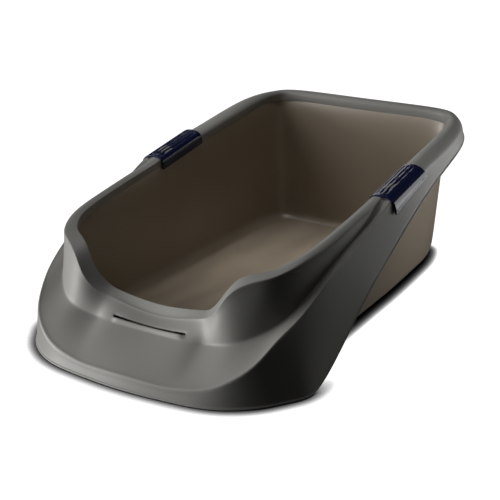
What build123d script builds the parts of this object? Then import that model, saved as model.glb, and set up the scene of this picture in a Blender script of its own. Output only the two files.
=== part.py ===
from build123d import *
import math
import os

os.makedirs("parts", exist_ok=True)

# Open litter pan: a deep tub, a one-piece rim frame with an entry ramp, two clips.
# +Y runs from the low entry to the high back, +Z is up, the floor is Z = 0.

total_length = 756.0
total_width = 457.0
front_y = -total_length / 2
wall = 3.0

# rim plane: height at the front end and rise per mm towards the back
rim_height_front = 154.5
rim_slope = 0.12
rim_angle = math.degrees(math.atan(rim_slope))
entry_drop = 72.0
band_width = 20.0
lip_depth = 11.0

# outer skirt
bead_out = 2.5
bead_height = 3.5
skirt_lean = 12.0
skirt_top = 262.0
rail_width = 11.5
ledge_drop = 5.0
tread_start = 8.0
tread_height = 16.0
tread_angle = 37.0

# tub
tub_foot_half = 179.0
tub_foot_back = 712.0
tub_flange = 7.0
seat_gap = 0.4

# entry slot and the tongue that shows in it
slot_half = 59.0
slot_low = 62.5
slot_high = 69.5

# clips
clip_length = 114.0
clip_mid = 425.0
clip_gap = 0.4
clip_thick = 3.8
clip_inner_leg = 13.0
clip_outer_leg = 20.0


def rim_height(y):
    return rim_height_front + rim_slope * y


def bowed_end(half_points, centre):
    """One smooth curve across the entry end, from the left side to the right side."""
    left_points = [(-x, y) for x, y in reversed(half_points)]
    return Spline(left_points + [centre] + half_points, tangents=[(0, -1), (0, 1)])


def opening_plan(grow):
    """Plan of the frame's opening: bowed entry end, straight sides, rounded back."""
    entry_points = [
        (70 + grow * 0.2, front_y + 96.5 - grow),
        (118 + grow * 0.5, front_y + 98.0 - grow * 0.9),
        (150 + grow * 0.75, front_y + 116.0 - grow * 0.7),
        (173.6 + grow * 0.93, front_y + 152.0 - grow * 0.35),
        (180.4 + grow * 0.98, front_y + 190.0 - grow * 0.15),
        (183 + grow, front_y + 230.0),
    ]
    with BuildSketch() as plan:
        with BuildLine():
            side = Line((183 + grow, front_y + 230), (183 + grow, front_y + 490))
            taper = Line(side @ 1, (178 + grow, front_y + 672))
            corner = RadiusArc(
                taper @ 1, (130, front_y + 722 + grow), -(49 + grow), short_sagitta=True
            )
            Line(corner @ 1, (0, front_y + 722 + grow))
            mirror(about=Plane.YZ)
            bowed_end(entry_points, (0, front_y + 97.0 - grow))
        make_face()
    return plan.sketch


def skirt_plan(inset):
    """Plan of the outer skirt at floor level, moved inwards by the inset."""
    with BuildSketch() as plan:
        with BuildLine():
            nose = ThreePointArc(
                (0, front_y + inset),
                (54, front_y + 1.6 + inset),
                (108 - inset * 0.2, front_y + 8 + inset),
            )
            shoulder = Spline(
                nose @ 1,
                (168 - inset * 0.6, front_y + 35 + inset * 0.8),
                (211 - inset * 0.88, front_y + 84 + inset * 0.45),
                (total_width / 2 - inset, front_y + 142),
                tangents=[nose % 1, (0, 1)],
            )
            side = Line(shoulder @ 1, (225 - inset, front_y + 690))
            corner = RadiusArc(
                side @ 1, (150, front_y + 766.6 - inset), -(76 - inset), short_sagitta=True
            )
            Line(corner @ 1, (0, front_y + 766.6 - inset))
            mirror(about=Plane.YZ)
        make_face()
    return plan.sketch


def tub_plan(level, grow):
    """Plan of the tub wall; level 0 is the foot and level 1 is the widest top."""
    near = front_y + 91.5 - 4.5 * level - grow
    bend = 4.5 + 4.5 * level + grow
    half = tub_foot_half + 17 * level + grow
    far = front_y + tub_foot_back + 23 * level + grow
    with BuildSketch() as plan:
        with BuildLine():
            bow = Spline(
                (0, near),
                (70 + bend * 0.2, near - 0.5),
                (118 + bend * 0.5, front_y + 98.0 - bend * 0.9),
                (150 + bend * 0.75, front_y + 116.0 - bend * 0.7),
                (175.5 + bend * 0.93, front_y + 152.0 - bend * 0.35),
                (half, front_y + 230.0),
                tangents=[(1, 0), (0, 1)],
            )
            side = Line(bow @ 1, (half, front_y + 490))
            taper = Line(side @ 1, (half - 7, far - 56))
            corner = RadiusArc(taper @ 1, (half - 60, far), -58, short_sagitta=True)
            Line(corner @ 1, (0, far))
            mirror(about=Plane.YZ)
        make_face()
    return plan.sketch


def prism(low_face, high_face, low, high):
    """Leaning wall body between two plans."""
    with BuildPart() as body:
        with BuildSketch(Plane.XY.offset(low)):
            add(low_face)
        with BuildSketch(Plane.XY.offset(high)):
            add(high_face)
        loft(ruled=True)
    return body.part


def above_rim(drop):
    """Everything above the rim surface: the sloping plane and the entry dip."""
    with BuildPart() as body:
        with BuildSketch(Plane.YZ.offset(-300)):
            with BuildLine():
                Polyline(
                    (front_y - 60, rim_height(-60) - drop),
                    (front_y + 860, rim_height(860) - drop),
                    (front_y + 860, 420),
                    (front_y - 60, 420),
                    close=True,
                )
            make_face()
        extrude(amount=600)
        entry_plane = Plane(
            origin=(0, front_y - 60, rim_height(-60) - drop),
            x_dir=(-1, 0, 0),
            z_dir=(0, math.cos(math.radians(rim_angle)), math.sin(math.radians(rim_angle))),
        )
        with BuildSketch(entry_plane):
            with BuildLine():
                dip_points = [(52, -entry_drop + 3), (83, -60), (101, -42), (118, -18), (148, -5)]
                Spline(
                    [(-176, 1)]
                    + [(-x, h) for x, h in reversed(dip_points)]
                    + [(0, -entry_drop)]
                    + dip_points
                    + [(176, 1)],
                    tangents=[(1, -0.12), (1, 0.12)],
                )
                Polyline((176, 1), (176, 60), (-176, 60), (-176, 1))
            make_face()
        extrude(amount=300)
    return body.part


def above_ramp(drop):
    """Everything above the entry ramp and the outer rails."""
    with BuildPart() as body:
        with BuildSketch(Plane.YZ.offset(-300)):
            with BuildLine():
                ramp = Spline(
                    (front_y - 10, 13 - drop),
                    (front_y + 8, 21 - drop),
                    (front_y + 40, 48 - drop),
                    (front_y + 75, 76 - drop),
                    (front_y + 110, 100 - drop),
                    (front_y + 160, 124 - drop),
                    (front_y + 250, 157 - drop),
                    (front_y + 395, rim_height(395) - drop),
                    tangents=[(1, 0.35), (1, rim_slope)],
                )
                Polyline(
                    ramp @ 1,
                    (front_y + 860, rim_height(860) - drop),
                    (front_y + 860, 420),
                    (front_y - 10, 420),
                    ramp @ 0,
                )
            make_face()
        extrude(amount=600)
    return body.part


def above_tread(drop):
    """Everything above the sunken tread in the middle of the ramp."""
    rise = math.radians(tread_angle)
    with BuildPart() as body:
        tread_plane = Plane(
            origin=(0, front_y + tread_start, tread_height - drop),
            x_dir=(-1, 0, 0),
            z_dir=(0, math.cos(rise), math.sin(rise)),
        )
        with BuildSketch(tread_plane):
            with BuildLine():
                Line((0, 0), (96, 0))
                flank = Spline((96, 0), (128, 7), (160, 22), tangents=[(1, 0), (1, 0.6)])
                Polyline(flank @ 1, (160, 400), (0, 400))
                mirror(about=Plane.YZ)
            make_face()
        extrude(amount=260, both=True)
    return body.part


def below_hem(lift):
    """Everything below the skirt's lower edge, which climbs towards the back."""
    with BuildPart() as body:
        with BuildSketch(Plane.YZ.offset(-300)):
            with BuildLine():
                foot = Line((front_y - 60, lift), (front_y + 128, lift))
                hem = Spline(
                    foot @ 1,
                    (front_y + 200, 36 + lift),
                    (front_y + 290, 86 + lift),
                    (front_y + 425, 146 + lift),
                    (front_y + 560, 190 + lift),
                    (front_y + 860, 245 + lift),
                )
                Polyline(hem @ 1, (front_y + 860, -60), (front_y - 60, -60), foot @ 0)
            make_face()
        extrude(amount=600)
    return body.part


# --- rim frame: skirt, rails, entry ramp, inner band and bead in one moulding ---

wall_line = bead_out + wall
dish_line = bead_out + rail_width

with BuildPart() as skirt_hollow:
    add(prism(skirt_plan(wall_line), skirt_plan(wall_line + skirt_lean), -1, skirt_top))
    add(above_ramp(wall + ledge_drop), mode=Mode.SUBTRACT)
    add(above_tread(wall), mode=Mode.SUBTRACT)

with BuildPart() as rail_hollow:
    add(prism(skirt_plan(wall_line), skirt_plan(wall_line + skirt_lean), -1, skirt_top))
    add(
        prism(
            skirt_plan(dish_line - wall),
            skirt_plan(dish_line - wall + skirt_lean),
            -1,
            skirt_top,
        ),
        mode=Mode.SUBTRACT,
    )
    add(above_ramp(wall), mode=Mode.SUBTRACT)

with BuildPart() as tread_dish:
    add(prism(skirt_plan(dish_line), skirt_plan(dish_line + skirt_lean), 0, skirt_top))
    add(above_tread(0), mode=Mode.INTERSECT)
    with BuildSketch():
        with Locations((0, front_y + 120)):
            Rectangle(700, 900, align=(Align.CENTER, Align.MIN))
    extrude(amount=400, mode=Mode.SUBTRACT)

with BuildPart() as ledge_dish:
    add(prism(skirt_plan(dish_line), skirt_plan(dish_line + skirt_lean), 0, skirt_top))
    add(above_ramp(ledge_drop), mode=Mode.INTERSECT)
    with BuildSketch():
        with Locations((0, front_y + 368)):
            Rectangle(700, 900, align=(Align.CENTER, Align.MIN))
    extrude(amount=400, mode=Mode.SUBTRACT)

with BuildPart() as band:
    add(prism(opening_plan(band_width + 8), opening_plan(band_width - 2), 0, skirt_top))
    add(above_rim(0), mode=Mode.SUBTRACT)

with BuildPart() as band_hollow:
    add(
        prism(
            opening_plan(band_width + 8 - wall),
            opening_plan(band_width - 2 - wall),
            0,
            skirt_top,
        )
    )
    add(above_rim(wall), mode=Mode.SUBTRACT)

with BuildPart() as rear_hollow:
    add(prism(skirt_plan(wall_line), skirt_plan(wall_line + skirt_lean), -1, skirt_top))
    add(above_rim(wall), mode=Mode.SUBTRACT)
    with BuildSketch(Plane.XY.offset(-1)):
        with Locations((0, front_y + 385)):
            Rectangle(700, 900, align=(Align.CENTER, Align.MAX))
    extrude(amount=400, mode=Mode.SUBTRACT)

with BuildPart() as lip:
    with BuildSketch():
        add(opening_plan(wall))
        add(opening_plan(0), mode=Mode.SUBTRACT)
    extrude(amount=skirt_top)
    add(above_rim(wall / 2), mode=Mode.SUBTRACT)
    add(above_rim(lip_depth), mode=Mode.INTERSECT)

with BuildPart() as bead:
    add(prism(skirt_plan(0), skirt_plan(skirt_lean), 0, skirt_top))
    add(
        prism(skirt_plan(wall_line - 1), skirt_plan(wall_line - 1 + skirt_lean), 0, skirt_top),
        mode=Mode.SUBTRACT,
    )
    add(below_hem(bead_height), mode=Mode.INTERSECT)

with BuildPart() as frame:
    add(prism(skirt_plan(bead_out), skirt_plan(bead_out + skirt_lean), 0, skirt_top))
    add(above_ramp(0), mode=Mode.SUBTRACT)
    add(ledge_dish.part, mode=Mode.SUBTRACT)
    add(tread_dish.part, mode=Mode.SUBTRACT)
    add(band.part)
    add(skirt_hollow.part, mode=Mode.SUBTRACT)
    add(rail_hollow.part, mode=Mode.SUBTRACT)
    add(band_hollow.part, mode=Mode.SUBTRACT)
    add(rear_hollow.part, mode=Mode.SUBTRACT)
    with BuildSketch():
        add(opening_plan(0))
    extrude(amount=skirt_top, mode=Mode.SUBTRACT)
    add(lip.part)
    add(bead.part)
    add(below_hem(0), mode=Mode.SUBTRACT)
    with BuildSketch(Plane.XZ.offset(-(front_y + 60))):
        with Locations((0, (slot_low + slot_high) / 2)):
            SlotOverall(2 * slot_half, slot_high - slot_low)
    extrude(amount=-24, mode=Mode.SUBTRACT)

frame.part.label = "rim_frame"
export_step(frame.part, "parts/rim_frame.step")

# --- tub: leaning walls, rolled foot, flange under the frame, tongue at the entry ---

with BuildPart() as tub_hollow:
    add(prism(tub_plan(0, -wall), tub_plan(1, -wall), 0, skirt_top))
    with BuildSketch():
        Rectangle(700, 1000)
    extrude(amount=wall, mode=Mode.SUBTRACT)
    foot_edges = tub_hollow.edges().group_by(Axis.Z)[0]
    fillet(foot_edges, radius=14)

with BuildPart() as tub_flange_body:
    add(prism(tub_plan(0, tub_flange), tub_plan(1, tub_flange), 0, skirt_top))
    add(above_rim(wall + seat_gap + wall), mode=Mode.INTERSECT)

with BuildPart() as tub:
    add(prism(tub_plan(0, 0), tub_plan(1, 0), 0, skirt_top))
    foot_edges = tub.edges().group_by(Axis.Z)[0]
    fillet(foot_edges, radius=12)
    add(tub_flange_body.part)
    with BuildSketch(Plane.XY.offset(slot_low + 0.6)):
        with Locations((0, front_y + 74.9)):
            Rectangle(2 * slot_half - 5, 26, align=(Align.CENTER, Align.MIN))
    extrude(amount=3.4)
    add(tub_hollow.part, mode=Mode.SUBTRACT)
    add(above_rim(wall + seat_gap), mode=Mode.SUBTRACT)

tub.part.label = "tub"
export_step(tub.part, "parts/tub.step")

# --- clips: each one wraps over the side rim, short leg inside, long leg outside ---

rim_in = 183.0
rim_out = 219.4
clip_in = rim_in - clip_gap - clip_thick
clip_out = rim_out + clip_gap + clip_thick
clip_crest = clip_gap + clip_thick

rise = math.radians(rim_angle)
clip_section = Plane(
    origin=(0, front_y + clip_mid, rim_height(clip_mid)),
    x_dir=(1, 0, 0),
    z_dir=(0, -math.cos(rise), -math.sin(rise)),
)
clip_crown = Plane(
    origin=(0, front_y + clip_mid, rim_height(clip_mid)),
    x_dir=(1, 0, 0),
    z_dir=(0, -math.sin(rise), math.cos(rise)),
)

with BuildPart() as clip_right:
    with BuildSketch(clip_section):
        with BuildLine():
            Polyline(
                (clip_in, -clip_inner_leg),
                (clip_in, clip_crest),
                (clip_out, clip_crest),
                (clip_out + 2.0, -clip_outer_leg),
                (clip_out + 2.0 - clip_thick, -clip_outer_leg),
                (clip_out - clip_thick, clip_gap),
                (clip_in + clip_thick, clip_gap),
                (clip_in + clip_thick, -clip_inner_leg),
                close=True,
            )
        make_face()
    extrude(amount=clip_length / 2, both=True)
    long_edges = clip_right.edges().filter_by(lambda e: e.length > clip_length - 2)
    fillet(long_edges.sort_by(Axis.Z)[-2:], radius=3.4)
    with BuildSketch(clip_crown.offset(clip_crest - 1.2)):
        with Locations((0.62 * clip_in + 0.38 * clip_out, 0)):
            with GridLocations(7.5, 1, 3, 1):
                SlotOverall(clip_length - 22, 3.2, rotation=90)
    extrude(amount=4, mode=Mode.SUBTRACT)

clip_right.part.label = "clip_right"
export_step(clip_right.part, "parts/clip_right.step")

with BuildPart() as clip_left:
    add(mirror(clip_right.part, about=Plane.YZ))

clip_left.part.label = "clip_left"
export_step(clip_left.part, "parts/clip_left.step")
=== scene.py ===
import math

import bpy
import numpy as np
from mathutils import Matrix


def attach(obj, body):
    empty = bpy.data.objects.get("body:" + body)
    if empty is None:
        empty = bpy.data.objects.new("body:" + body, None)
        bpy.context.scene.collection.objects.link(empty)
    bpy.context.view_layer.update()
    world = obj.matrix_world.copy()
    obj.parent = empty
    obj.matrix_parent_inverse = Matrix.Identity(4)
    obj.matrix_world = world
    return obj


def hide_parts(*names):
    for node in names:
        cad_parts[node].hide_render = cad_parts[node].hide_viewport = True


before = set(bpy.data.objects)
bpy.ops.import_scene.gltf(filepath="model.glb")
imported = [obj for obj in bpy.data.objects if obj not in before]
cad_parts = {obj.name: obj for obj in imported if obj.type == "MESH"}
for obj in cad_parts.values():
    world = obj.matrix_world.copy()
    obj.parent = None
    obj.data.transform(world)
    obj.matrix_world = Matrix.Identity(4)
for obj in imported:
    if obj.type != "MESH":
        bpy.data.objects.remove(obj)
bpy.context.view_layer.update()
print("frame loaded")

frontY = -0.378   # entry end; lengths below are millimetres, y counted from it


def toWorld(p):
    return (p[0] / 1000, p[1] / 1000 + frontY, p[2] / 1000)


def deselectAll():
    if bpy.context.object and bpy.context.object.mode != "OBJECT":
        bpy.ops.object.mode_set(mode="OBJECT")
    bpy.ops.object.select_all(action="DESELECT")


def makeActive(piece):
    deselectAll()
    piece.select_set(True)
    bpy.context.view_layer.objects.active = piece


def applyAll(piece):
    makeActive(piece)
    for m in list(piece.modifiers):
        bpy.ops.object.modifier_apply(modifier=m.name)


def bakePlace(piece):
    makeActive(piece)
    bpy.ops.object.transform_apply(location=True, rotation=True, scale=True)


def bothSides(half):
    # right half from the front centre to the back centre, closed round the left
    left = [(-p[0], p[1], p[2]) for p in half[-2:0:-1]]
    return np.array(list(half) + left, float)


def smoothThrough(points, steps):
    # closed cubic through given points, read at the given steps
    n = len(points)
    a = 4 * np.eye(n) + np.roll(np.eye(n), 1, 1) + np.roll(np.eye(n), -1, 1)
    slope = np.linalg.solve(a, 3 * (np.roll(points, -1, 0) - np.roll(points, 1, 0)))
    out = []
    for s in steps:
        i = int(s) % n
        j = (i + 1) % n
        t = s - int(s)
        out.append((2*t**3 - 3*t**2 + 1) * points[i] + (t**3 - 2*t**2 + t) * slope[i]
                   + (3*t**2 - 2*t**3) * points[j] + (t**3 - t**2) * slope[j])
    return np.array(out)


def cageFor(ring):
    # subdivision pulls a cage inwards, so the cage is set to land on the ring
    n = len(ring)
    a = (4 * np.eye(n) + np.roll(np.eye(n), 1, 1) + np.roll(np.eye(n), -1, 1)) / 6
    return np.linalg.solve(a, ring)


def ringPiece(name, rings):
    # a circle set onto the first ring, then its edge extruded ring by ring
    deselectAll()
    n = len(rings[0])
    bpy.ops.mesh.primitive_circle_add(vertices=n, radius=0.2, location=(0, 0, 0))
    piece = bpy.context.object
    piece.name = name
    mesh = piece.data
    order = list(range(n))
    for i, p in zip(order, rings[0]):
        mesh.vertices[i].co = toWorld(p)
    for ring in rings[1:]:
        bpy.ops.object.mode_set(mode="EDIT")
        bpy.ops.mesh.extrude_region_move(TRANSFORM_OT_translate={"value": (0, 0, 0.001)})
        bpy.ops.object.mode_set(mode="OBJECT")
        fresh = {v.index for v in mesh.vertices if v.select}
        before = {old: k for k, old in enumerate(order)}
        follow = [0] * n
        for e in mesh.edges:
            a, b = e.vertices
            if a in before and b in fresh:
                follow[before[a]] = b
            elif b in before and a in fresh:
                follow[before[b]] = a
        order = follow
        for i, p in zip(order, ring):
            mesh.vertices[i].co = toWorld(p)
    return piece


def closeCentre(piece, steps):
    # the last open edge is scaled in a few times, then filled
    bpy.ops.object.mode_set(mode="EDIT")
    for s in steps:
        bpy.ops.mesh.extrude_region_move(TRANSFORM_OT_translate={"value": (0, 0, 0)})
        bpy.ops.transform.resize(value=(s, s, 1))
    bpy.ops.mesh.edge_face_add()
    bpy.ops.object.mode_set(mode="OBJECT")


def faceOut(piece, flip=False):
    makeActive(piece)
    bpy.ops.object.mode_set(mode="EDIT")
    bpy.ops.mesh.select_all(action="SELECT")
    bpy.ops.mesh.remove_doubles(threshold=0.00001)
    bpy.ops.mesh.normals_make_consistent(inside=flip)
    bpy.ops.object.mode_set(mode="OBJECT")


def giveWall(piece, thickness, evenOffset=False):
    solid = piece.modifiers.new("wall", "SOLIDIFY")
    solid.thickness = thickness / 1000
    solid.offset = -1
    solid.use_even_offset = evenOffset
    soft = piece.modifiers.new("soft", "SUBSURF")
    soft.levels = 2
    soft.render_levels = 2
    applyAll(piece)
    bpy.ops.object.shade_smooth()


# camera first

cameraLook = {
    "lensMm": 79.2,
    "place": (0.804, -1.390, 0.689),
    "tilt": 69.0,
    "turn": 30.8,
}

deselectAll()
bpy.ops.object.camera_add(location=cameraLook["place"])
camera = bpy.context.object
camera.name = "viewCamera"
camera.rotation_euler = (math.radians(cameraLook["tilt"]), 0, math.radians(cameraLook["turn"]))
camera.data.sensor_width = 36
camera.data.lens = cameraLook["lensMm"]
camera.data.clip_end = 50
bpy.context.scene.camera = camera
print("camera placed")


# rim frame: guide curves on the right half, front centre to back centre

rimFrame = {
    "thickness": 2.8,
    "lipDepth": 13.0,
    "beadOut": 2.3,
    "beadHigh": 3.4,
    "slotFrom": 0.64,      # along the entry wall, 0 at the rim, 1 at the ledge
    "slotTo": 0.75,
    "slotHalf": 58,        # half the slot's length
    "slotShelf": 3.4,      # how far the bar under the slot stands out
    "shelfHalf": 56,
    "ridgeHigh": 1.2,
    "crownHigh": 1.6,
    "hemLowest": 0.4,
    "shoulderOut": 2.6, "shoulderDrop": 9.0,
    "valleyReach": 4.5, "valleyDeep": 0.8,
    "broadFrom": 345, "broadOver": 60,    # where the rails turn into the broad rim
    "crownFrom": 110, "crownOver": 60,
    "innerEdge": [(0, 97.7, 87.3), (59, 97.6, 92.6), (84, 97.2, 100.2), (103, 93.2, 122),
                  (121, 100, 146), (141, 111.5, 156.3), (159, 125.5, 159.8), (173, 151, 166.5),
                  (180, 186, 171.8), (183, 230, 177), (184.5, 300, 185.5), (184.5, 365, 193.3),
                  (183.7, 430, 201.1), (180.8, 540, 214.3), (177, 662, 229), (163.5, 707, 234.4),
                  (130, 722, 236.1), (0, 723, 236.3)],
    "outerEdge": [(0, 88.3, 73.4), (59, 86.9, 82.4), (85, 83, 91.4), (105, 74.6, 108),
                  (124, 77.5, 137), (150, 93, 152.5), (171, 110.5, 158), (187, 144, 165),
                  (194.5, 183.5, 170.5), (197.5, 229, 175.7), (199.3, 300, 184.3),
                  (200, 365, 192.5)],
    "crease": [(0, 66, 57.5), (59, 64.2, 59.2), (85, 69.2, 58.8), (106, 69, 62.5),
               (128, 69.5, 69), (150, 80.6, 76.8), (171, 101, 88), (185, 124, 101.5),
               (194, 160, 120), (199, 215, 142), (203, 290, 163.5), (206, 358, 182)],
    "railCrest": [(0, 7.5, 20), (59, 9.8, 19), (86, 12.8, 20.8), (109, 16.6, 24.3),
                  (132, 22.6, 31), (155, 33.5, 43.5), (177, 54, 62.5), (191, 84, 86),
                  (203, 123, 106.5), (210, 190, 137), (210.5, 275, 162.3), (213, 350, 185.5)],
    "hem": [(0, 0, 0), (59, 3.2, 0), (88, 6.3, 0), (113, 10.4, 0), (139, 18.7, 0),
            (164, 32.5, 0), (190, 55, 0), (210, 82, 0), (225.7, 113, 0), (227.7, 176, 23),
            (226, 268, 75), (224.5, 345, 110), (222.7, 430, 144.5), (221, 540, 181),
            (214.4, 655, 206.5), (184, 720.5, 215.5), (132, 753.4, 218.8), (0, 754.2, 219)],
}

# broad rounded rim behind the clips: distance out from the inner edge, height over it
broadRim = {
    "lipLow": (0.8, -14.5), "lipTop": (0, -3), "inner": (0.5, 0.9), "innerSoft": (2.4, 2.9),
    "stripMid": (5, 4.2), "stripOut": (8, 5.0), "outer": (11, 5.5), "wallTop": (14, 5.65),
    "wallHigh": (15.5, 5.65), "slotTop": (17, 5.6), "slotLow": (18.5, 5.4),
    "shelfLow": (20, 5.2), "wallFoot": (21.5, 4.9), "creaseOut": (23, 4.5),
    "ledgeA": (24.5, 4.0), "ledgeB": (26, 3.4), "valley": (27.5, 2.6),
    "railIn": (29, 1.6), "crest": (30.5, 0.4), "railOut": (32.5, -1.8),
    "skirtTop": (34.2, -5.0),
}
broadWidth = 39.6

# columns of the frame's mesh, counted in guide stations from the front centre
columns = {
    "stations": 34,       # all the way round
    "closeGap": 0.125,    # at the slot
    "closeUntil": 1.5,
    "growth": 1.2,        # each gap against the one before, past the slot
    "widestGap": 0.5,
    "lastGap": 0.26,
}


def frontToBack():
    spec = columns
    back = spec["stations"] / 2
    close = spec["closeUntil"]
    steps = [0.0]
    gap = spec["closeGap"]
    while steps[-1] < back - spec["lastGap"]:
        steps.append(steps[-1] + gap)
        if steps[-1] >= close:
            gap = min(gap * spec["growth"], spec["widestGap"])
    stretch = (back - close) / (steps[-1] - close)
    return [s if s <= close else close + (s - close) * stretch for s in steps]


halfSteps = frontToBack()
ringSteps = halfSteps + [columns["stations"] - s for s in reversed(halfSteps[1:-1])]


def outward(inner, hem):
    d = hem - inner
    d[:, 2] = 0
    return d / np.linalg.norm(d, axis=1)[:, None]


def broadPoint(inner, hem, name):
    out, up = broadRim[name]
    n = outward(inner, hem)
    flat = (hem - inner)[:, :2]
    scale = np.linalg.norm(flat, axis=1) / broadWidth
    p = inner + n * (out * scale)[:, None]
    p[:, 2] = inner[:, 2] + up
    return p


def easeIn(y, start, over):
    return np.clip((y - start) / over, 0, 1)


def buildRimFrame():
    spec = rimFrame
    inner = bothSides(spec["innerEdge"])
    hem = bothSides(spec["hem"])
    guides = {}
    for name, key in (("outer", "outerEdge"), ("wallFoot", "crease"), ("crest", "railCrest")):
        half = list(spec[key])
        rear = broadPoint(inner, hem, name)
        half += [tuple(rear[i]) for i in range(len(half), len(spec["innerEdge"]))]
        guides[name] = bothSides(half)
    inner = smoothThrough(inner, ringSteps)
    hem = smoothThrough(hem, ringSteps)
    hem[:, 2] = np.maximum(hem[:, 2], spec["hemLowest"])
    outer = smoothThrough(guides["outer"], ringSteps)
    foot = smoothThrough(guides["wallFoot"], ringSteps)
    crest = smoothThrough(guides["crest"], ringSteps)
    up = np.array((0, 0, 1.0))
    out = outward(inner, hem)
    wide = np.linalg.norm((hem - crest)[:, :2], axis=1)[:, None]
    y = inner[:, 1]

    # how far each column has turned into the broad rim
    turned = easeIn(y, spec["broadFrom"], spec["broadOver"])
    turned = (turned * turned * (3 - 2 * turned))[:, None]

    def mix(front, name):
        return front * (1 - turned) + broadPoint(inner, hem, name) * turned

    wall = foot - outer
    strip = outer - inner
    ledge = crest - foot
    wallOut = -np.cross(wall, np.roll(outer, -1, 0) - np.roll(outer, 1, 0))
    wallOut /= np.linalg.norm(wallOut, axis=1)[:, None]
    wallOut *= np.sign(wallOut[:, 2])[:, None]
    ridge = wallOut * spec["ridgeHigh"]
    crown = up * spec["crownHigh"] * easeIn(y, spec["crownFrom"], spec["crownOver"])[:, None]
    underSlot = (np.abs(inner[:, 0]) < spec["shelfHalf"]) * (y < 200)
    shelf = wallOut * (underSlot * spec["slotShelf"])[:, None]

    # the rail turns over a small shoulder, then runs nearly straight to the hem
    shoulder = crest + out * np.minimum(wide * 0.25, spec["shoulderOut"]) - up * 2.5
    drop = np.minimum(spec["shoulderDrop"], 0.35 * crest[:, 2:3])
    lean = drop / crest[:, 2:3] + 0.13
    skirtTop = mix(crest + out * (wide - spec["beadOut"]) * lean - up * drop, "skirtTop")
    reach = np.minimum(0.5, spec["valleyReach"] / np.linalg.norm(ledge, axis=1))[:, None]
    valley = crest - ledge * reach - up * spec["valleyDeep"]

    # bead along the hem, then the skirt
    hemIn = hem - out * spec["beadOut"]
    skirtFoot = hemIn + up * (spec["beadHigh"] + 2.2)
    rings = [
        hem,
        hem + up * (spec["beadHigh"] - 0.6),
        hemIn + up * spec["beadHigh"] + out * 0.3,
        skirtFoot,
        skirtFoot + (skirtTop - skirtFoot) * 0.5,
        skirtTop,
    ]
    # rail, ledge, entry wall, top strip and lip, from the outside in
    for name, front in (
        ("railOut", shoulder),
        ("crest", crest),
        ("railIn", crest + (valley - crest) * 0.5),
        ("valley", valley),
        ("ledgeB", foot + ledge * 0.60),
        ("ledgeA", foot + ledge * 0.28),
        ("creaseOut", foot + ledge * 0.025),
        ("wallFoot", foot - wall * 0.03),
        ("shelfLow", foot - wall * 0.16),
        ("slotLow", outer + wall * spec["slotTo"]),
        ("slotTop", outer + wall * spec["slotFrom"]),
        ("wallHigh", outer + wall * 0.36),
        ("wallTop", outer + wall * 0.07),
        ("outer", outer + ridge),
        ("stripOut", outer - strip * 0.14 + crown),
        ("stripMid", outer - strip * 0.55 + crown * 1.3),
        ("innerSoft", inner + strip * 0.13),
        ("inner", inner),
        ("lipTop", inner - up * 2.6),
        ("lipLow", inner - up * spec["lipDepth"]),
    ):
        rings.append(mix(front, name))

    slotRing = 15    # the slot lies between this ring and the next
    cages = [cageFor(r) for r in rings]
    cages[slotRing - 1] += shelf * 0.9
    cages[slotRing] += shelf
    piece = ringPiece("rimFrame", cages)

    # the slot: the wall faces between its two edge rings are taken out
    mesh = piece.data
    makeActive(piece)
    bpy.ops.object.mode_set(mode="EDIT")
    bpy.ops.mesh.select_all(action="DESELECT")
    bpy.ops.object.mode_set(mode="OBJECT")
    bpy.context.tool_settings.mesh_select_mode = (False, False, True)
    for f in mesh.polygons:
        atRings = {v // len(ringSteps) for v in f.vertices}
        inLength = abs(f.center[0]) < spec["slotHalf"] / 1000 and f.center[1] < 0
        if atRings == {slotRing, slotRing + 1} and inLength:
            f.select = True
    bpy.ops.object.mode_set(mode="EDIT")
    bpy.ops.mesh.delete(type="FACE")
    bpy.ops.object.mode_set(mode="OBJECT")
    bpy.context.tool_settings.mesh_select_mode = (True, False, False)

    faceOut(piece)
    if max(mesh.polygons, key=lambda f: f.center[2]).normal[2] < 0:
        faceOut(piece, flip=True)
    giveWall(piece, spec["thickness"], evenOffset=True)
    return piece


rimPiece = buildRimFrame()
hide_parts("rim_frame")
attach(rimPiece, "frame")
print("rim frame made", len(rimPiece.data.polygons), "faces")


# tub: one skin from the flange over the top edge and down to the floor

tub = {
    "wall": 3.0,
    "footRadius": 15.0,
    "flangeOut": 5.0,
    "flangeSag": 1.0, "flangeSagEntry": 6.5, "flangeDeep": 3.5,
    "flareOut": 4.5,       # the top opens out behind the frame's lip
    "entryTo": 110, "flareOver": 60,
    "topInset": 0.4,
    "floorSteps": (0.82, 0.6, 0.45),
    "topOverPlane": 146.0,
    "rise": 0.12,
    "entryDrop": [(0, 86), (40, 81), (60, 76.5), (85, 66), (103, 42), (121, 19), (141, 9),
                  (154, 8), (165, 6), (178, 3.5), (190, 1.5), (220, 1)],
}


def tubOutline(z, grow):
    level = z / 262
    near = 91.5 - 4.5 * level - grow
    bend = 4.5 + 4.5 * level + grow
    half = 179 + 9 * level + grow
    far = 712 + 14 * level + grow
    return [(0, near), (36, near - 0.2), (70 + bend * 0.2, near - 0.5),
            (96 + bend * 0.3, near + 0.6),
            (118 + bend * 0.5, 98 - bend * 0.9), (136 + bend * 0.62, 105.5 - bend * 0.8),
            (151 + bend * 0.75, 116.0 - bend * 0.7), (166.5 + bend * 0.85, 133 - bend * 0.5),
            (175.5 + bend * 0.93, 155.0 - bend * 0.35), (half, 230), (half, 320), (half, 410),
            (half, 480), (half - 3.5, 585), (half - 9 + 2 * level, 645 + 0.2 * grow),
            (half - 22 + 4 * level, far - 19), (half - 58, far - 0.8), (0, far)]


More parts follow.
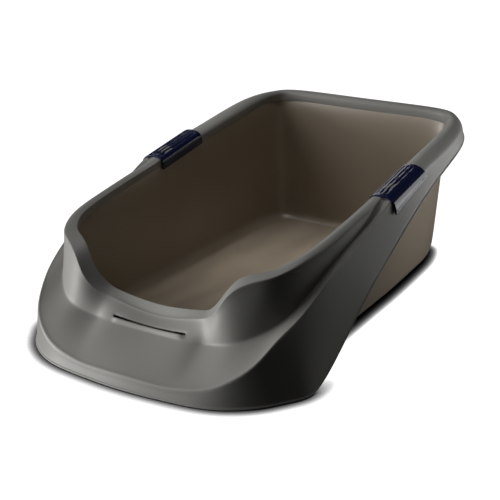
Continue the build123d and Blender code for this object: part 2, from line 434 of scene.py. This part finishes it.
def buildTub():
    spec = tub
    steps = [0.5 * k for k in range(2 * columns["stations"])]

    def topHeight(x, y):
        xs, drops = zip(*spec["entryDrop"])
        drop = np.interp(abs(x), xs, drops) if y < 220 else 0
        return spec["topOverPlane"] + spec["rise"] * y - drop

    def flare(y):
        return spec["flareOut"] * min(1, max(0, (y - spec["entryTo"]) / spec["flareOver"]))

    def ringAt(z, grow):
        return [(x, y, z) for x, y in tubOutline(z, grow)]

    inset = -spec["wall"]
    # each top point keeps the wall's lean at its own height
    top = []
    for k, (x, y) in enumerate(tubOutline(180, inset)):
        z = topHeight(x, y)
        for again in range(3):
            x, y = tubOutline(z, inset + flare(y))[k]
            z = topHeight(x, y)
        top.append((x, y, z))
    topOut = []
    for k, p in enumerate(top):
        x, y = tubOutline(p[2], spec["topInset"] + flare(p[1]))[k]
        topOut.append((x, y, p[2]))
    flange = []
    for k, p in enumerate(top):
        x, y = tubOutline(p[2], spec["flangeOut"] + flare(p[1]))[k]
        sag = spec["flangeSagEntry"] if y < spec["entryTo"] else spec["flangeSag"]
        flange.append((x, y, p[2] - sag))
    flangeLow = [(x, y, z - spec["flangeDeep"]) for x, y, z in flange]

    def onWall(part):
        ring = []
        footTop = spec["footRadius"] + spec["wall"]
        for k, p in enumerate(top):
            z = footTop + (p[2] - footTop) * part
            x, y = tubOutline(z, inset)[k]
            ring.append((x, y, z))
        return ring

    r = spec["footRadius"]
    foot = []
    for a in (8, 30, 60, 85):
        s = math.sin(math.radians(a))
        c = math.cos(math.radians(a))
        foot.append(ringAt(spec["wall"] + r * (1 - s), inset - r * (1 - c)))
    floorIn = ringAt(spec["wall"], inset - r - 8)
    rings = [flangeLow, flange, topOut, top, [(p[0], p[1], p[2] - 4) for p in top],
             [(p[0], p[1], p[2] - 16) for p in onWall(1)],
             onWall(0.7), onWall(0.4), onWall(0.1)] + foot + [floorIn]
    cages = [cageFor(smoothThrough(bothSides(ring), steps)) for ring in rings]
    piece = ringPiece("litterTub", cages)
    closeCentre(piece, spec["floorSteps"])
    faceOut(piece)
    floorFace = min(piece.data.polygons, key=lambda f: (f.center.x ** 2 + f.center.y ** 2))
    if floorFace.normal[2] < 0:
        faceOut(piece, flip=True)
    giveWall(piece, spec["wall"])
    return piece


tubPiece = buildTub()
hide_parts("tub")
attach(tubPiece, "pan")
print("tub made", len(tubPiece.data.polygons), "faces")


# clips: a skin bent over the rim section, given its wall, copied for the left

clip = {
    "length": 114.0,
    "middle": 425.0,
    "rimX": 183.8, "rimZ": 199.2,    # where the section's zero point sits
    "slope": 0.155,
    "slant": 9.0,                    # the outer leg is cut shorter towards the back
    "thickness": 2.7,
    "edgeRound": 0.7,
    "edgeLine": 0.35, "edgeLineInner": 2.6, "edgeLineOuter": 3.4,
    "grooveDeep": 1.1,
    "grooveHalf": 1.9,
    "grooveLong": 48.0,
    "grooves": (5.5, 12.5, 19.5),
    "profile": [(-3.6, -13), (-3.7, -8), (-3.4, -3), (-2.2, 1.8), (1.2, 5.4), (6, 7.6),
                (13, 8.8), (20, 8.6), (26.5, 6.9), (31.5, 4.2), (35.6, 0.2), (38.2, -5),
                (39.4, -11), (40.0, -17), (40.1, -18)],
    "facesAcross": 72, "facesAlong": 46,
    "smoothAngle": 40,
}


def grooveAt(across, up, along):
    spec = clip
    deep = 0
    for g in spec["grooves"]:
        if up > 4:
            side = abs(across - g) / spec["grooveHalf"]
            end = max(0, abs(along) - spec["grooveLong"]) / spec["grooveHalf"]
            far = math.hypot(side, end)
            deep = max(deep, spec["grooveDeep"] * max(0, 1 - far ** 4) if far < 1 else 0)
    return deep


def buildClip():
    spec = clip
    line = np.array(spec["profile"], float)
    run = np.concatenate([[0], np.cumsum(np.linalg.norm(np.diff(line, axis=0), axis=1))])

    def onProfile(s):
        return np.interp(s, run, line[:, 0]), np.interp(s, run, line[:, 1])

    deselectAll()
    bpy.ops.mesh.primitive_grid_add(x_subdivisions=spec["facesAcross"],
                                    y_subdivisions=spec["facesAlong"], size=2, location=(0, 0, 0))
    piece = bpy.context.object
    piece.name = "clipRight"
    mesh = piece.data
    slopeAngle = math.atan(spec["slope"])
    for v in mesh.vertices:
        t = v.co.y
        whole = run[-1] - spec["slant"] * (t + 1) / 2
        s = (v.co.x + 1) / 2 * whole
        # ends are packed closer so that they stay crisp
        t = math.copysign(1 - (1 - abs(t)) ** 1.25, t)
        across, up = onProfile(s)
        behind = onProfile(max(s - 0.8, 0))
        ahead = onProfile(min(s + 0.8, run[-1]))
        a = ahead[0] - behind[0]
        b = ahead[1] - behind[1]
        size = math.hypot(a, b) or 1
        along = t * spec["length"] / 2
        deep = grooveAt(across, up, along)
        nearOuter = abs(s - (whole - spec["edgeLineOuter"])) < 0.5
        nearInner = abs(s - spec["edgeLineInner"]) < 0.5
        if nearOuter or nearInner:
            deep += spec["edgeLine"]
        across += b / size * deep
        up -= a / size * deep
        y = spec["middle"] + along * math.cos(slopeAngle) - up * math.sin(slopeAngle)
        z = spec["rimZ"] + along * math.sin(slopeAngle) + up * math.cos(slopeAngle)
        v.co = toWorld((spec["rimX"] + across, y, z))
    faceOut(piece)
    crown = max(mesh.polygons, key=lambda f: f.center[2])
    if crown.normal[2] < 0:
        faceOut(piece, flip=True)
    solid = piece.modifiers.new("wall", "SOLIDIFY")
    solid.thickness = spec["thickness"] / 1000
    solid.offset = -1
    edge = piece.modifiers.new("edge", "BEVEL")
    edge.width = spec["edgeRound"] / 1000
    edge.segments = 2
    edge.limit_method = "ANGLE"
    edge.angle_limit = math.radians(50)
    applyAll(piece)
    bpy.ops.object.shade_smooth_by_angle(angle=math.radians(spec["smoothAngle"]))
    return piece


def mirrorCopy(piece, name):
    makeActive(piece)
    bpy.ops.object.duplicate()
    other = bpy.context.object
    other.name = name
    bpy.ops.transform.mirror(constraint_axis=(True, False, False), orient_type="GLOBAL",
                             center_override=(0, 0, 0))
    bakePlace(other)
    faceOut(other)
    bpy.ops.object.shade_smooth_by_angle(angle=math.radians(clip["smoothAngle"]))
    return other


clipRight = buildClip()
clipLeft = mirrorCopy(clipRight, "clipLeft")
for piece, node, body in (
    (clipRight, "clip_right", "right_clip"),
    (clipLeft, "clip_left", "left_clip"),
):
    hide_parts(node)
    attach(piece, body)
print("clips made", len(clipRight.data.polygons), "faces each")


# materials

moulding = {
    "driftScale": 5.0, "driftDetail": 3.0,    # slow colour change
    "sheenScale": 14.0, "sheenDetail": 4.0,   # uneven gloss
    "grainDetail": 2.0, "grainDeep": 0.0004,
    # painted reflection streaks in the tub floor's colour
    "reflectStreakScale": 5.0, "reflectStreakBend": 9.0, "reflectStreakDetail": 3.0, "reflectStreakDetailScale": 0.8,
    "reflectStreakFull": 0.004, "reflectStreakGone": 0.02,  # heights above the ground
}


def plasticMaterial(name, look):
    made = bpy.data.materials.new(name)
    made.use_nodes = True
    tree = made.node_tree
    tree.nodes.clear()
    node = tree.nodes.new
    link = tree.links.new
    out = node("ShaderNodeOutputMaterial")
    skin = node("ShaderNodeBsdfPrincipled")
    place = node("ShaderNodeTexCoord")
    link(skin.outputs["BSDF"], out.inputs["Surface"])

    # slow colour drift of the moulding
    drift = node("ShaderNodeTexNoise")
    drift.inputs["Scale"].default_value = moulding["driftScale"]
    drift.inputs["Detail"].default_value = moulding["driftDetail"]
    link(place.outputs["Object"], drift.inputs["Vector"])
    tint = node("ShaderNodeValToRGB")
    tint.color_ramp.elements[0].position = 0.3
    tint.color_ramp.elements[0].color = (*look["colour"], 1)
    tint.color_ramp.elements[1].position = 0.7
    tint.color_ramp.elements[1].color = (*look["colourWarm"], 1)
    link(drift.outputs["Fac"], tint.inputs["Fac"])
    link(tint.outputs["Color"], skin.inputs["Base Color"])
    if look.get("paintedReflectionStreaks"):
        # painted reflection: faint sweeping streaks mixed into the tub floor's colour stand in
        # for its streaky reflections
        wave = node("ShaderNodeTexWave")
        wave.inputs["Scale"].default_value = moulding["reflectStreakScale"]
        wave.inputs["Distortion"].default_value = moulding["reflectStreakBend"]
        wave.inputs["Detail"].default_value = moulding["reflectStreakDetail"]
        wave.inputs["Detail Scale"].default_value = moulding["reflectStreakDetailScale"]
        link(place.outputs["Object"], wave.inputs["Vector"])
        parts = node("ShaderNodeSeparateXYZ")
        link(place.outputs["Object"], parts.inputs["Vector"])
        low = node("ShaderNodeMapRange")
        low.inputs["From Min"].default_value = moulding["reflectStreakFull"]
        low.inputs["From Max"].default_value = moulding["reflectStreakGone"]
        low.inputs["To Min"].default_value = look["paintedReflectionStreaks"]
        low.inputs["To Max"].default_value = 0.0
        link(parts.outputs["Z"], low.inputs["Value"])
        streak = node("ShaderNodeMix")
        streak.data_type = "RGBA"
        streak.blend_type = "OVERLAY"
        link(low.outputs["Result"], streak.inputs["Factor"])
        link(tint.outputs["Color"], streak.inputs["A"])
        link(wave.outputs["Color"], streak.inputs["B"])
        link(streak.outputs["Result"], skin.inputs["Base Color"])

    # uneven sheen left by the mould
    cloud = node("ShaderNodeTexNoise")
    cloud.inputs["Scale"].default_value = moulding["sheenScale"]
    cloud.inputs["Detail"].default_value = moulding["sheenDetail"]
    link(place.outputs["Object"], cloud.inputs["Vector"])
    rough = node("ShaderNodeMapRange")
    rough.inputs["To Min"].default_value = look["roughFrom"]
    rough.inputs["To Max"].default_value = look["roughTo"]
    link(cloud.outputs["Fac"], rough.inputs["Value"])
    link(rough.outputs["Result"], skin.inputs["Roughness"])

    # fine moulded grain
    grain = node("ShaderNodeTexNoise")
    grain.inputs["Scale"].default_value = look["grainScale"]
    grain.inputs["Detail"].default_value = moulding["grainDetail"]
    link(place.outputs["Object"], grain.inputs["Vector"])
    bump = node("ShaderNodeBump")
    bump.inputs["Strength"].default_value = look["grainStrength"]
    bump.inputs["Distance"].default_value = moulding["grainDeep"]
    link(grain.outputs["Fac"], bump.inputs["Height"])
    link(bump.outputs["Normal"], skin.inputs["Normal"])
    skin.inputs["Specular IOR Level"].default_value = look["shine"]
    skin.inputs["Coat Weight"].default_value = look["coat"]
    skin.inputs["Coat Roughness"].default_value = look["coatRough"]
    return made


framePlastic = {
    "colour": (0.235, 0.232, 0.218), "colourWarm": (0.25, 0.246, 0.228),
    "roughFrom": 0.44, "roughTo": 0.56, "grainScale": 900.0, "grainStrength": 0.10,
    "shine": 0.5, "coat": 0.0, "coatRough": 0.2,
}
tubPlastic = {
    "colour": (0.300, 0.250, 0.190), "colourWarm": (0.320, 0.268, 0.202),
    "roughFrom": 0.26, "roughTo": 0.38, "grainScale": 900.0, "grainStrength": 0.10,
    # strength of the painted reflection streaks on the tub floor
    "shine": 0.5, "coat": 0.0, "coatRough": 0.2, "paintedReflectionStreaks": 0.08,
}
clipPlastic = {
    "colour": (0.004, 0.007, 0.038), "colourWarm": (0.006, 0.011, 0.055),
    "roughFrom": 0.20, "roughTo": 0.30, "grainScale": 500.0, "grainStrength": 0.04,
    "shine": 0.45, "coat": 0.15, "coatRough": 0.08,
}
rimPiece.data.materials.clear()
rimPiece.data.materials.append(plasticMaterial("greyMouldedPlastic", framePlastic))
tubPiece.data.materials.clear()
tubPiece.data.materials.append(plasticMaterial("taupeMouldedPlastic", tubPlastic))
navy = plasticMaterial("navyGlossPlastic", clipPlastic)
for piece in (clipRight, clipLeft):
    piece.data.materials.clear()
    piece.data.materials.append(navy)
print("materials made")


# floor and light

studio = {
    "floorSize": 60.0,
    "floorGlow": 1.15,
    "contactShadowReach": 0.018, "contactShadowPower": 6.0,    # painted contact shadow: dark line in the floor's glow where the piece meets the floor
    "ambient": 0.018,
    "spotSoft": 0.12,
}
softLights = {
    "key": {"place": (-2.45, -1.8, 0.05), "aim": (0, 0, 0.15), "size": 1.6, "power": 84.0},
    "fill": {"place": (-1.7, -2.2, 1.2), "aim": (0, 0, 0.15), "size": 1.6, "power": 24.0},
    "top": {"place": (-0.3, 0.25, 2.5), "aim": (0, 0, 0.15), "size": 1.4, "power": 13.0},
    "back": {"place": (1.3, 2.0, 0.22), "aim": (0, 0, 0.15), "size": 1.2, "power": 8.0},
    "gloss": {"place": (-1.5, 2.5, 1.1), "aim": (0, 0.1, 0.1), "size": 1.3, "power": 4.0},
}
spotLights = {
    "inside": {"place": (-0.35, 0.1, 1.9), "aim": (0.03, 0.10, 0), "cone": 14.0, "power": 78.0},
    "side": {"place": (1.5, 1.1, 0.2), "aim": (0.19, 0.24, 0.16), "cone": 18.0, "power": 52.0},
}


def aimLight(name, kind, look):
    deselectAll()
    bpy.ops.object.light_add(type=kind, location=look["place"])
    lamp = bpy.context.object
    lamp.name = name + "Light"
    lamp.data.energy = look["power"]
    d = np.array(look["aim"]) - np.array(look["place"])
    flat = math.hypot(d[0], d[1])
    lamp.rotation_euler = (math.atan2(flat, -d[2]), 0, math.atan2(d[1], d[0]) - math.pi / 2)
    return lamp


for name, look in softLights.items():
    lamp = aimLight(name, "AREA", look)
    lamp.data.shape = "DISK"
    lamp.data.size = look["size"]
for name, look in spotLights.items():
    lamp = aimLight(name, "SPOT", look)
    lamp.data.spot_size = math.radians(look["cone"])
    lamp.data.spot_blend = 1.0
    lamp.data.shadow_soft_size = studio["spotSoft"]

deselectAll()
bpy.ops.mesh.primitive_plane_add(size=studio["floorSize"], location=(0, 0, 0))
floor = bpy.context.object
floor.name = "studioFloor"
paleFloor = bpy.data.materials.new("paleFloor")
paleFloor.use_nodes = True
tree = paleFloor.node_tree
tree.nodes.clear()
out = tree.nodes.new("ShaderNodeOutputMaterial")
glow = tree.nodes.new("ShaderNodeEmission")
# painted contact shadow: ambient occlusion darkens the floor's glow next to the piece
contactShadowNode = tree.nodes.new("ShaderNodeAmbientOcclusion")
contactShadowNode.samples = 16
contactShadowNode.inputs["Distance"].default_value = studio["contactShadowReach"]
deepen = tree.nodes.new("ShaderNodeMath")
deepen.operation = "POWER"
deepen.inputs[1].default_value = studio["contactShadowPower"]
strength = tree.nodes.new("ShaderNodeMath")
strength.operation = "MULTIPLY"
strength.inputs[1].default_value = studio["floorGlow"]
tree.links.new(contactShadowNode.outputs["AO"], deepen.inputs[0])
tree.links.new(deepen.outputs["Value"], strength.inputs[0])
tree.links.new(strength.outputs["Value"], glow.inputs["Strength"])
tree.links.new(glow.outputs["Emission"], out.inputs["Surface"])
floor.data.materials.append(paleFloor)
floor.visible_diffuse = False   # the white floor shows, and doesn't light the object
floor.visible_glossy = False
floor.visible_shadow = False

room = bpy.data.worlds.new("studioRoom")
bpy.context.scene.world = room
room.use_nodes = True
room.node_tree.nodes["Background"].inputs["Color"].default_value = (1, 1, 1, 1)
room.node_tree.nodes["Background"].inputs["Strength"].default_value = studio["ambient"]
bpy.context.scene.view_settings.view_transform = "Standard"
print("studio lit")
